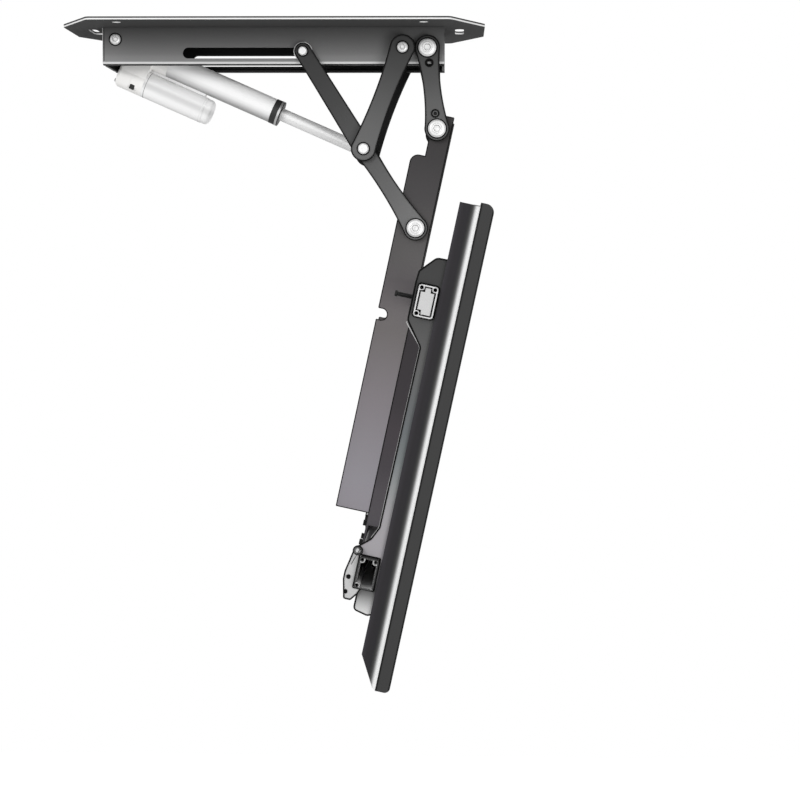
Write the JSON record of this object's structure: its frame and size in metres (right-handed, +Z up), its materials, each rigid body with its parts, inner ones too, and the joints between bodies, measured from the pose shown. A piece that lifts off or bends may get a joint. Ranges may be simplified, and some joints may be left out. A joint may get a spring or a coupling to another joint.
{
  "type": "motorized tv ceiling mount",
  "caption": "Ceiling plate with a slotted channel; a linear actuator folds paired links that swing a TV bracket with two stepped rails up flat.",
  "frame": {"origin": "centre of the ceiling plate's top face, which lies on the ceiling", "axes": "+Z up to the ceiling, +X towards the side that the screen faces when lowered, Y across the screen"},
  "size_m": [0.4262, 0.438, 0.6305],
  "materials": {
    "black_steel": "satin black powder coat",
    "rail_black": "semi-gloss black powder coat",
    "bolt_steel": "bright zinc plate",
    "dark_bolt": "black oxide",
    "tube_aluminium": "extruded, black outside",
    "actuator_silver": "silver-white paint",
    "rod_steel": "ground and polished",
    "collar_grey": "moulded",
    "nylon": "natural nylon",
    "bronze": "sintered bronze",
    "black_plastic": "moulded",
    "board_green": "solder mask"
  },
  "bodies": {
    "ceiling_frame": {"ceiling_plate": "black_steel", "left_rail": "black_steel", "right_rail": "black_steel", "end_plates": "black_steel", "actuator_pivot_bolt": "bolt_steel", "channel_pivot_bolts": "bolt_steel", "pivot_spacers": "bolt_steel", "channel_nuts": "bolt_steel", "control_box": "black_plastic", "control_box_cover": "black_plastic", "control_board": "board_green", "power_inlet": "black_plastic"},
    "short_links": {"left_short_link": "black_steel", "right_short_link": "black_steel", "short_link_bushes": "bronze", "middle_rivets": "bolt_steel"},
    "long_arms": {"left_long_arm": "black_steel", "right_long_arm": "black_steel", "long_arm_bushes": "bronze", "slot_pins": "bolt_steel", "slot_rollers": "nylon"},
    "rear_links": {"left_rear_link": "black_steel", "right_rear_link": "black_steel", "rear_link_bushes": "bronze", "rear_tie_rod": "black_steel", "tie_screws": "dark_bolt", "bracket_pivot_bolts": "bolt_steel"},
    "tv_bracket": {"left_side_plate": "black_steel", "right_side_plate": "black_steel", "arm_pivot_bolts": "bolt_steel", "bracket_nuts": "bolt_steel", "spine": "black_steel", "upper_cross_tube": "tube_aluminium", "lower_cross_tube": "tube_aluminium", "tube_saddles": "black_steel", "spine_bolts": "dark_bolt"},
    "left_tv_mount": {"left_tv_rail": "rail_black", "left_hook_plate": "black_steel", "left_hook_rivets": "bolt_steel"},
    "right_tv_mount": {"right_tv_rail": "rail_black", "right_hook_plate": "black_steel", "right_hook_rivets": "bolt_steel"},
    "left_lock": {"left_lock_screw": "dark_bolt"},
    "right_lock": {"right_lock_screw": "dark_bolt"},
    "left_latch_lever": {"left_latch": "black_steel"},
    "right_latch_lever": {"right_latch": "black_steel"},
    "actuator_body": {"gearbox_housing": "actuator_silver", "gearbox_cover": "actuator_silver", "cable_gland": "black_plastic", "motor_can": "actuator_silver", "motor_cap": "actuator_silver", "outer_tube": "actuator_silver", "rod_collar": "collar_grey", "screw_bearing": "rod_steel", "lead_screw": "rod_steel", "reduction_gears": "rod_steel"},
    "actuator_piston": {"actuator_rod": "rod_steel", "rod_nut": "bronze", "rod_end": "rod_steel", "rod_pin": "rod_steel"}
  },
  "joints": [
    {"name": "fold", "type": "hinge", "parent": "ceiling_frame", "child": "short_links", "pos_m": [0.1286, 0, -0.0236], "axis": [0, 1, 0], "range_deg": [0, 52.45]},
    {"name": "arm_fold", "type": "hinge", "parent": "short_links", "child": "long_arms", "pos_m": [0.09, 0, -0.1233], "axis": [0, -1, 0], "range_deg": [0, 96.7]},
    {"name": "bracket_fold", "type": "hinge", "parent": "long_arms", "child": "tv_bracket", "pos_m": [0.142, 0, -0.2018], "axis": [0, 1, 0], "range_deg": [0, 119.98]},
    {"name": "rear_link_fold", "type": "hinge", "parent": "ceiling_frame", "child": "rear_links", "pos_m": [0.1532, 0, -0.0236], "axis": [0, -1, 0], "range_deg": [0, 47.85]},
    {"name": "actuator_tilt", "type": "hinge", "parent": "ceiling_frame", "child": "actuator_body", "pos_m": [-0.1581, 0, -0.0149], "axis": [0, -1, 0], "range_deg": [0, 11.69]},
    {"name": "rod_travel", "type": "slide", "parent": "actuator_body", "child": "actuator_piston", "axis": [-0.9164, 0, 0.4004], "range_m": [0, 0.08261]},
    {"name": "left_rail_slide", "type": "slide", "parent": "tv_bracket", "child": "left_tv_mount", "axis": [0, 1, 0], "range_m": [0, 0.1]},
    {"name": "right_rail_slide", "type": "slide", "parent": "tv_bracket", "child": "right_tv_mount", "axis": [0, -1, 0], "range_m": [0, 0.1]},
    {"name": "left_lock_turn", "type": "slide", "parent": "left_tv_mount", "child": "left_lock", "axis": [-0.9781, 0, 0.2083], "range_m": [0, 0.004]},
    {"name": "left_latch_swing", "type": "hinge", "parent": "left_tv_mount", "child": "left_latch_lever", "pos_m": [0.09383, -0.2103, -0.5], "axis": [0, 1, 0], "range_deg": [0, 25], "stiffness_Nm_per_rad": 0.05, "springref_deg": -17.19},
    {"name": "right_lock_turn", "type": "slide", "parent": "right_tv_mount", "child": "right_lock", "axis": [-0.9781, 0, 0.2083], "range_m": [0, 0.004]},
    {"name": "right_latch_swing", "type": "hinge", "parent": "right_tv_mount", "child": "right_latch_lever", "pos_m": [0.09383, 0.2103, -0.5], "axis": [0, 1, 0], "range_deg": [0, 25], "stiffness_Nm_per_rad": 0.05, "springref_deg": -17.19}
  ],
  "couplings": [
    {"joint": "arm_fold", "follows": "fold", "ratio": 1.8437},
    {"joint": "bracket_fold", "follows": "fold", "ratio": 2.2876},
    {"joint": "rear_link_fold", "follows": "fold", "ratio": 0.91234},
    {"joint": "actuator_tilt", "follows": "fold", "ratio": 0.22275},
    {"joint": "rod_travel", "follows": "fold", "m_per_rad": 0.090191}
  ]
}
